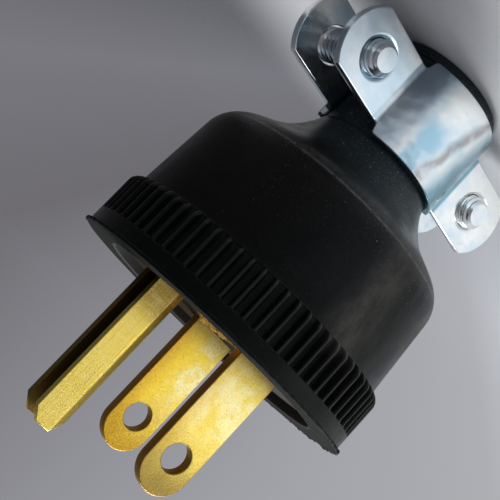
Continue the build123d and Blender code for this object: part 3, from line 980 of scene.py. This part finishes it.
def crust_shape():
    """The torn fibres as one closed skin, sunk a little into the board."""
    columns, rows = (round(CRUST_SPAN * reach / CRUST_STEP) for reach in CRUST_REACH)
    wide = columns + 1
    crust = bmesh.new()
    crust.loops.layers.float_vector.new("facing")
    top, bottom = [], []
    for row in range(rows + 1):
        for column in range(wide):
            x = CRUST_MIDDLE[0] + (column - columns / 2) * CRUST_STEP
            y = CRUST_MIDDLE[1] + (row - rows / 2) * CRUST_STEP
            top.append(crust.verts.new((x, y, DISC_TOP - CRUST_SUNK + crust_height(x, y))))
            bottom.append(crust.verts.new((x, y, DISC_TOP - 2 * CRUST_SUNK)))
    for row in range(rows):
        for column in range(columns):
            first, second = row * wide + column, (row + 1) * wide + column
            cell = (first, first + 1, second + 1, second)
            crust.faces.new([top[i] for i in cell])
            crust.faces.new([bottom[i] for i in reversed(cell)])
    grid = np.arange(len(top)).reshape(-1, wide)
    rim = [*grid[0], *grid[1:, -1], *grid[-1, -2::-1], *grid[-2:0:-1, 0]]
    for i, j in looped(rim):
        crust.faces.new((bottom[i], bottom[j], top[j], top[i]))
    for vertex in crust.verts:
        vertex.co *= MM
    return crust


def disc_mesh():
    """The slotted board and the torn fibres on it, as one mesh."""
    half = (DISC_TOP - DISC_BOTTOM) / 2
    middle = (DISC_TOP + DISC_BOTTOM) / 2
    profile = edge_profile(half, DISC_EDGE, 2)
    slots = [slot_contour(x, BLADE_Y, BLADE_THICKNESS / 2, BLADE_HALF) for x in (BLADE_X, -BLADE_X)]
    slots.append(slot_contour(0, (PIN_BEND_Y + PIN_OPEN_Y) / 2, PIN_HALF, PIN_DEPTH / 2))
    rim = circle((0, 0), DISC_RADIUS, DISC_SIDES)
    rim = [point * (1 - 0.004 * (1 + wobble(point.x, point.y, 5.0))) for point in rim]
    contours = [(rim, profile)] + [(ragged_loop(slot, 2.0 + i), profile) for i, slot in enumerate(slots)]
    board = bent_sheet(contours, [], lambda s, w, n: (s, w, middle + n))
    return finished(board, crust_shape())


new_piece("insulating_disc", disc_mesh(), fibre)


# Blades: a strip with a round end, bent out at the bottom into the terminal's foot
def blade_mesh(side):
    """One blade, on the given side of the plug's middle."""
    half = BLADE_THICKNESS / 2
    bend = FOOT_BEND + half
    straight = BLADE_TOP - FOOT_BOTTOM - half - bend
    turn = bend * pi / 2
    foot_run = straight + turn - BLADE_X - bend
    total = foot_run + FOOT_END
    line = bent_line((BLADE_X, BLADE_TOP), -pi / 2, (straight, 0), (turn, bend), (inf, 0))

    def place(s, w, n):
        x, z = line(s, n)
        return side * x, BLADE_Y + w, z

    tip = sweep((BLADE_HALF, 0), BLADE_HALF, -pi / 2, -3 * pi / 2, BLADE_TIP_STEPS)
    foot = rounded(
        (BLADE_HALF, BLADE_HALF, 0),
        (total, BLADE_HALF, FOOT_CORNER),
        (total, -BLADE_HALF, FOOT_CORNER),
        (BLADE_HALF, -BLADE_HALF, 0),
    )
    hole = circle((BLADE_TOP - BLADE_HOLE_HEIGHT, 0), BLADE_HOLE_RADIUS, HOLE_SIDES)
    terminal = circle((foot_run + BLADE_SCREW_X, 0), TERMINAL_HOLE, TERMINAL_SIDES)
    contours = [
        ((tip + foot[1:-1])[::-1], edge_profile(half, BLADE_EDGE)),
        (hole[::-1], edge_profile(half, HOLE_EDGE)),
        (terminal[::-1], edge_profile(half, TERMINAL_EDGE)),
    ]
    cuts = divided(straight, straight + turn, FOOT_BEND_STEPS)
    return finished(bent_sheet(contours, cuts, place))


for node, side in (("line_blade", 1), ("neutral_blade", -1)):
    new_piece(node, blade_mesh(side), brass)


# Ground pin: sheet folded to a U along its length, with the tip cut back on both sides
def pin_shape():
    """The folded pin, down to its foot."""
    half = PIN_SHEET / 2
    bend = PIN_BEND_RADIUS - half
    flat = PIN_HALF - PIN_BEND_RADIUS
    turn = bend * pi / 2
    total = flat + turn + PIN_DEPTH - PIN_BEND_RADIUS
    height = PIN_TOP - FOOT_BOTTOM
    line = bent_line((0, PIN_BEND_Y + half), 0, (flat, 0), (turn, bend), (inf, 0))

    def top(y):
        bend_side = PIN_TOP - PIN_BEND_RISE * (1 - (y - PIN_BEND_Y) / PIN_BEND_RUN)
        open_side = PIN_TOP - PIN_OPEN_RISE * (1 - (PIN_OPEN_Y - y) / PIN_OPEN_RUN)
        return min(PIN_TOP, bend_side, open_side)

    def place(s, w, n):
        x, y = line(abs(s), -n)
        z = FOOT_BOTTOM + w / height * (top(y) - FOOT_BOTTOM)
        return (x if s > 0 else -x), y, z

    kinks = divided(flat, flat + turn, PIN_BEND_STEPS) + [total - PIN_OPEN_RUN]
    cuts = sorted([-kink for kink in kinks] + kinks)
    runs = [-total] + cuts + [total]
    outline = [Vector((run, 0)) for run in runs] + [Vector((run, height)) for run in reversed(runs)]
    return bent_sheet([(outline, edge_profile(half, HOLE_EDGE))], cuts, place)


def pin_foot_shape():
    """The pin's foot: one leg turned out into a round pad for its screw."""
    half = PIN_SHEET / 2
    bend = FOOT_BEND + half
    turn = bend * pi / 2
    leg_half = (PIN_DEPTH - PIN_BEND_RADIUS) / 2
    line = bent_line((PIN_HALF - half, FOOT_BOTTOM + half + bend), -pi / 2, (turn, bend), (inf, 0))

    def place(s, w, n):
        x, z = line(s, n)
        return x, PIN_OPEN_Y - leg_half + w, z

    pad = (turn + PIN_SCREW_X - PIN_HALF - FOOT_BEND, 0)
    spread = pi - asin(leg_half / PIN_PAD_RADIUS)
    outline = [Vector((0, leg_half)), Vector((0, -leg_half))]
    outline += sweep(pad, PIN_PAD_RADIUS, -spread, spread, PIN_PAD_STEPS)
    edge = edge_profile(half, TERMINAL_EDGE)
    contours = [(outline, edge), (circle(pad, TERMINAL_HOLE, TERMINAL_SIDES)[::-1], edge)]
    return bent_sheet(contours, divided(0, turn, FOOT_BEND_STEPS)[1:], place)


new_piece("ground_pin", finished(pin_shape(), pin_foot_shape()), brass)

# Binding screws, which show as their solids
for node, material in (("terminal_screws", brass), ("ground_screw", green)):
    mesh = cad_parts[node].data
    mesh.materials.clear()
    mesh.materials.append(material)


# Cord clamp: each half is a strap bent round the neck, with a flat ear at each side
def hole_edge(side):
    """Rings round an ear's hole: rolled in and drawn out to a collar in front, plain at the rear."""
    half = CLAMP_SHEET / 2
    if side < 0:
        return edge_profile(half, REAR_HOLE_EDGE)
    foot = -half - COLLAR_LENGTH
    return edge_arc(half, LEAD_IN, LEAD_IN_STEPS) + [
        (0, foot + COLLAR_EDGE),
        (COLLAR_EDGE, foot),
        (COLLAR_WALL - COLLAR_CHAMFER, foot),
        (COLLAR_WALL, foot + COLLAR_CHAMFER),
        (COLLAR_WALL, -half - COLLAR_ROOT),
        (COLLAR_WALL + COLLAR_ROOT, -half),
    ]


def clamp_mesh(side):
    """One half of the clamp, on the given side of its parting plane."""
    half = CLAMP_SHEET / 2
    bend = EAR_BEND + half
    spread = acos((EAR_MIDDLE + bend) / (STRAP_RADIUS + bend))
    arch = STRAP_RADIUS * spread
    turn = bend * spread
    ear_run = arch + turn - (STRAP_RADIUS + bend) * sin(spread)
    total = ear_run + EAR_REACH
    line = bent_line((STRAP_RADIUS, 0), pi / 2, (arch, STRAP_RADIUS), (turn, -bend), (inf, 0))

    def place(s, w, n):
        x, y = line(abs(s), -n)
        return on_neck(side * x, y if s > 0 else -y, w)

    step = STRAP_RADIUS * acos((EAR_OUTER + EAR_BEND) / (STRAP_RADIUS + half))
    end_middle = total - EAR_END_RADIUS
    end_angle = asin(EAR_HALF / EAR_END_RADIUS)
    corners = rounded(
        (0, -ARCH_HALF, 0),
        (step, -ARCH_HALF, 0.5),
        (step + EAR_STEP_RUN, -EAR_HALF, 0.4),
        (end_middle, -EAR_HALF, 0),
    )
    quarter = spaced(corners, lambda point: 1.0)
    ear_end = sweep((end_middle, 0), EAR_END_RADIUS, -end_angle, end_angle, EAR_END_STEPS)
    right = quarter + ear_end + [Vector((p.x, -p.y)) for p in reversed(quarter)][:-1]
    contours = [(right + [Vector((-p.x, -p.y)) for p in right], edge_profile(half, CLAMP_EDGE))]
    hole_radius = FRONT_HOLE if side > 0 else REAR_HOLE
    for run in (-ear_run - SCREW_OFFSET, ear_run + SCREW_OFFSET):
        contours.append((circle((run, 0), hole_radius, HOLE_SIDES)[::-1], hole_edge(side)))
    cuts = divided(0, arch, ARCH_STEPS)[1:] + divided(arch, arch + turn, EAR_BEND_STEPS)[1:]
    cuts = sorted([-cut for cut in cuts] + [0] + cuts)
    return finished(bent_sheet(contours, cuts, place))


for node, side in (("clamp_half_front", 1), ("clamp_half_rear", -1)):
    new_piece(node, clamp_mesh(side), plated)


# Clamp screws: slotted round heads behind the rear half, threaded shafts through both halves
SCREW_START = -EAR_OUTER
SCREW_END = EAR_OUTER + SCREW_STICK_OUT
SMOOTH_LIMIT = radians(40)


def screw_stations():
    """Rings of a screw from its head to its end, as (place along it, radius, whether it is threaded)."""
    head = rounded(
        (SCREW_POLE, SCREW_START - HEAD_HEIGHT, 0),
        (HEAD_RADIUS, SCREW_START - HEAD_HEIGHT, HEAD_ROUND),
        (HEAD_RADIUS, SCREW_START, 0.15),
        (SCREW_RADIUS - 0.05, SCREW_START, 0),
        steps=HEAD_STEPS,
    )
    stations = [(point.y, point.x, False) for point in head]
    count = round((SCREW_END - SCREW_START) / THREAD_PITCH * THREAD_STEPS)
    for along in divided(SCREW_START, SCREW_END, count)[1:]:
        taper = max(0, along - (SCREW_END - SCREW_CHAMFER))
        stations.append((along, SCREW_RADIUS - taper, along > SCREW_START + THREAD_START))
    return stations + [(SCREW_END, SCREW_POLE, False)]


def slot_cutter(offset):
    """A block where the slot of a screw's head is."""
    cutter = bmesh.new()
    bmesh.ops.create_cube(cutter, size=1.0)
    for vertex in cutter.verts:
        x, y, z = vertex.co
        x = SCREW_START - HEAD_HEIGHT + x * 2 * HEAD_SLOT_DEPTH
        vertex.co = Vector(on_neck(x, offset + y * HEAD_SLOT_WIDTH, z * 3 * HEAD_RADIUS)) * MM
    return new_object("slot cutter", finished(cutter))


def screw_shape(offset):
    """One screw, at an offset from the clamp's middle: turned with a helical thread, then slotted."""
    points, rings = [], []
    for along, radius, threaded in screw_stations():
        rings.append(range(len(points), len(points) + SCREW_SIDES))
        for side in range(SCREW_SIDES):
            angle = 2 * pi * side / SCREW_SIDES
            wave = abs(2 * ((along / THREAD_PITCH - side / SCREW_SIDES) % 1) - 1)
            cut = THREAD_DEPTH * float(smoothstep(*THREAD_FLANK, wave)) if threaded else 0
            crest = min(radius, SCREW_RADIUS - cut)
            points.append(on_neck(along, offset + crest * cos(angle), crest * sin(angle)))
    faces = []
    for first, second in zip(rings, rings[1:]):
        faces += [(a, c, d, b) for (a, b), (c, d) in zip(looped(first), looped(second))]
    faces += [tuple(rings[0]), tuple(reversed(rings[-1]))]
    screw = new_object("screw", mesh_of(points, faces))
    cutter = slot_cutter(offset)
    slot = screw.modifiers.new("slot", "BOOLEAN")
    slot.operation = "DIFFERENCE"
    slot.solver = "EXACT"
    slot.object = cutter
    bpy.context.view_layer.update()
    shape = bmesh.new()
    shape.from_object(screw, bpy.context.evaluated_depsgraph_get())
    for scrap in (screw, cutter):
        bpy.data.objects.remove(scrap)
    bmesh.ops.recalc_face_normals(shape, faces=shape.faces)
    return shape


screw_mesh = finished(screw_shape(SCREW_OFFSET), screw_shape(-SCREW_OFFSET))
new_piece("clamp_screws", screw_mesh, plated)
screw_mesh.set_sharp_from_angle(angle=SMOOTH_LIMIT)


# Camera, at the photograph's angle
CAMERA_PLACE = (0.10052, 0.05522, 0.04870)
CAMERA_RIGHT = Vector((0.4271, -0.5969, -0.6803)).normalized()
CAMERA_FORWARD = Vector((-0.8793, -0.4494, -0.1586)).normalized()
CAMERA_UP = CAMERA_RIGHT.cross(CAMERA_FORWARD)
CAMERA_NEAR = 0.01
SENSOR_WIDTH = 36
IMAGE_SIZE = 500
FOCAL_PIXELS = 1002
camera_data = bpy.data.cameras.new("camera")
camera_data.sensor_width = SENSOR_WIDTH
camera_data.lens = FOCAL_PIXELS / IMAGE_SIZE * SENSOR_WIDTH
camera_data.clip_start = CAMERA_NEAR
camera = new_object("camera", camera_data)
axes = Matrix((CAMERA_RIGHT, CAMERA_UP, -CAMERA_FORWARD)).transposed()
camera.matrix_world = Matrix.Translation(CAMERA_PLACE) @ axes.to_4x4()
bpy.context.scene.camera = camera

# Background: painted light and shade, pale on the window's side and darker on the other with a dip for the
# plug's painted shadow, the same for the world and the floor far off
WINDOW_SIDE = (0.3, -0.954, 0.0)
BACKDROP_STOPS = (
    (0.0, (0.09, 0.089, 0.094)),
    (0.25, (0.135, 0.135, 0.148)),
    (0.36, (0.19, 0.19, 0.21)),
    (0.48, (0.155, 0.15, 0.165)),
    (0.6, (0.29, 0.292, 0.318)),
    (0.675, (0.36, 0.365, 0.395)),
    (0.8, (0.42, 0.425, 0.45)),
    (0.88, (0.6, 0.61, 0.64)),
    (1.0, (0.7, 0.71, 0.74)),
)
FLOOR_RADIUS = 3000
FLOOR_SIDES = 96
NEAR_FLOOR_LIGHT = ((0.36, 0.365, 0.385), (0.88, 0.885, 0.895))
SHADOW_LIFT_FLOOR = (0.78, 0.78, 0.795)
OUTER_FLOOR = (0.5, 0.505, 0.52)
FLOOR_SPECK = (0.3, 0.3, 0.31)
BACK_FLOOR = (0.75, 0.75, 0.75)


def backdrop_colour(direction):
    """The background's colour in a direction."""
    toward = vectors("DOT_PRODUCT", direction, WINDOW_SIDE)
    return gradient(compute("MULTIPLY_ADD", toward, 0.5, 0.5), BACKDROP_STOPS)


def floor_material():
    """A matt floor that fades into the background far off, with painted light near the plug."""
    look = Look("pale_floor", Roughness=0.8, Specular_IOR_Level=0.2)
    x = split(look.place)[0]
    speck = look.noise(0.6, 4)
    distance = vectors("LENGTH", look.place)
    far = backdrop_colour(vectors("NORMALIZE", look.place))
    toward_window = vectors("DOT_PRODUCT", look.place, WINDOW_SIDE)
    # Painted light near the plug: darker towards −x, a pale pool towards +x, for the clamp to mirror
    look.colour = mix(fade(x, -8, 22), *NEAR_FLOOR_LIGHT)
    # Painted light: paler away from the window, where the plug's shadow falls
    look.coat(SHADOW_LIFT_FLOOR, fade(toward_window, -10, 9, 1, 0))
    # The painted light ends further out
    look.coat(OUTER_FLOOR, fade(distance, 46, 85))
    look.coat(vectors("MULTIPLY", far, BACK_FLOOR), fade(x, -45, -2, 1, 0))
    look.coat(FLOOR_SPECK, speck, 0.12)
    look.use(Normal=bump(speck, 0.05, 0.1))
    glow = add_node(look.tree, "Emission", {"Color": far, "Strength": 1.0}).outputs[0]
    shaders = {0: fade(distance, 34, 120), 1: look.shader.outputs[0], 2: glow}
    mixed = add_node(look.tree, "MixShader", shaders).outputs[0]
    look.tree.links.new(mixed, look.tree.nodes["Material Output"].inputs["Surface"])
    return look.material


floor_rim = [point.to_3d() for point in circle((0, 0), FLOOR_RADIUS, FLOOR_SIDES)]
floor_mesh = mesh_of(floor_rim, [tuple(range(FLOOR_SIDES))])
floor_mesh.materials.append(floor_material())
floor = new_object("floor", floor_mesh)

world = bpy.data.worlds.new("studio")
bpy.context.scene.world = world
world.use_nodes = True
sky_colour = backdrop_colour(add_node(world.node_tree, "TexCoord").outputs["Generated"])
background = world.node_tree.nodes["Background"]
world.node_tree.links.new(sky_colour, background.inputs["Color"])
background.inputs["Strength"].default_value = 1.0

# Soft light from a window on the left, and a weak sheen from the right
LIT_MIDDLE = Vector((0, 0, 0.03))


def soft_light(name, place, size, power, colour):
    """A square area lamp that looks at the plug's middle."""
    data = bpy.data.lights.new(name, "AREA")
    data.size = size
    data.energy = power
    data.color = colour
    lamp = new_object(name, data)
    lamp.location = place
    lamp.rotation_euler = (LIT_MIDDLE - lamp.location).to_track_quat("-Z", "Y").to_euler()


soft_light("window", place=(-0.15, -0.36, 0.46), size=0.34, power=4.4, colour=(0.96, 0.98, 1.0))
soft_light("sheen", place=(0.48, -0.36, 0.1), size=0.18, power=0.4, colour=(1.0, 0.98, 0.94))

bpy.context.scene.view_settings.view_transform = "Standard"
